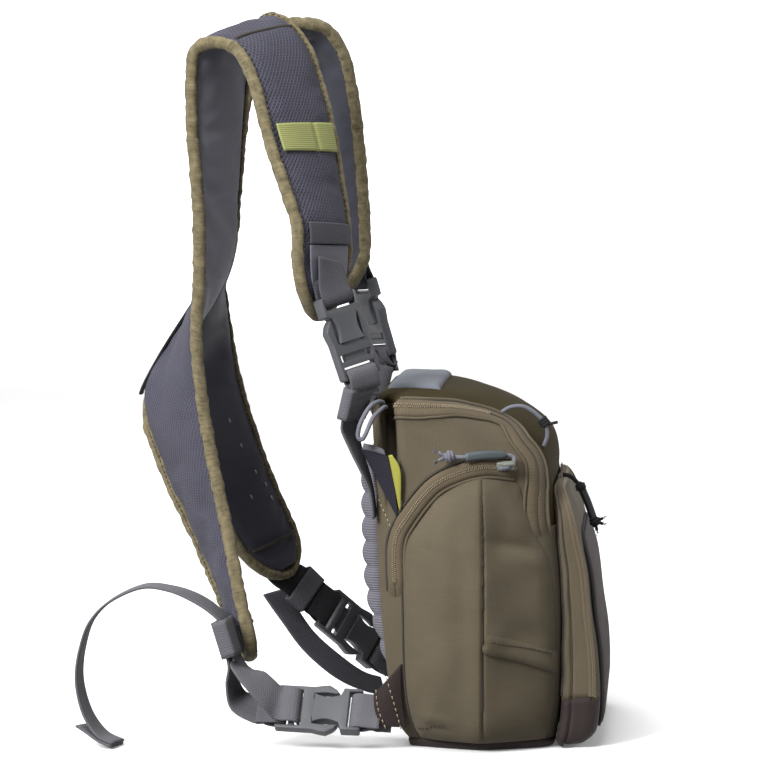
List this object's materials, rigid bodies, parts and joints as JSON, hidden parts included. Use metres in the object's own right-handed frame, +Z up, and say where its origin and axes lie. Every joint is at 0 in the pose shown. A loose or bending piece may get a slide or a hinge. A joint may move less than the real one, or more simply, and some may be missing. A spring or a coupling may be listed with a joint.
{
  "type": "chest pack",
  "caption": "Fishing chest pack standing on its base: cloth bag with arched zip pockets, ridged back pad, padded harness with bound edges, webbing straps and side-release buckles.",
  "frame": {"origin": "on the underside of the base, below the middle of the main compartment", "axes": "+X towards the pack's front pocket, +Y towards its far side as pictured, +Z up"},
  "size_m": [0.282, 0.2332, 0.3834],
  "materials": {
    "body": "matte woven pack cloth",
    "lid": "matte woven pack cloth, darker olive",
    "foam": "soft closed foam with a napped face",
    "base": "coated cloth, slightly smooth",
    "panel": "matte woven cloth",
    "back": "ribbed knitted mesh over foam ridges",
    "mesh": "knitted spacer mesh outside, smooth knit inside",
    "binding": "folded knitted tape",
    "webbing": "woven nylon strap",
    "buckle": "satin moulded plastic",
    "lime": "smooth woven tape",
    "gusset": "smooth lining cloth",
    "black": "braided cord and tape",
    "cord": "braided cord"
  },
  "bodies": {
    "root": {"main_body": "body", "main_zip": "body", "front_pocket": "body", "front_zip": "body", "side_pocket_near": "body", "side_pocket_far": "body", "side_zip_near": "body", "side_zip_far": "body", "slip_hem_near": "body", "slip_hem_far": "body", "lid": "lid", "fly_patch": "foam", "base_panel": "base", "front_pocket_base": "base", "wing_tab_near": "base", "wing_tab_far": "base", "front_panel": "panel", "back_panel": "back", "harness_pad_near": "mesh", "harness_pad_far": "mesh", "harness_binding_near": "binding", "harness_binding_far": "binding", "pad_web_near": "webbing", "pad_web_far": "webbing", "shoulder_web_near": "webbing", "shoulder_web_far": "webbing", "shoulder_keeper_near": "webbing", "shoulder_keeper_far": "webbing", "elastic_keeper_near": "webbing", "elastic_keeper_far": "webbing", "low_strand_near": "webbing", "low_strand_far": "webbing", "low_keeper_near": "webbing", "low_keeper_far": "webbing", "tail_near": "webbing", "tail_far": "webbing", "low_web_near": "webbing", "low_web_far": "webbing", "socket_front_near": "buckle", "prong_front_near": "buckle", "socket_front_far": "buckle", "prong_front_far": "buckle", "socket_low_near": "buckle", "prong_low_near": "buckle", "socket_low_far": "buckle", "prong_low_far": "buckle", "lime_tab_near": "lime", "lime_tab_far": "lime", "stash_lining_near": "lime", "stash_gusset_near": "gusset", "stash_gusset_far": "gusset", "spine_tape": "black", "front_pull": "black", "tippet_tie": "black", "main_pull": "cord", "side_pull_near": "cord", "side_pull_far": "cord", "tippet_loop": "cord"}
  },
  "joints": []
}
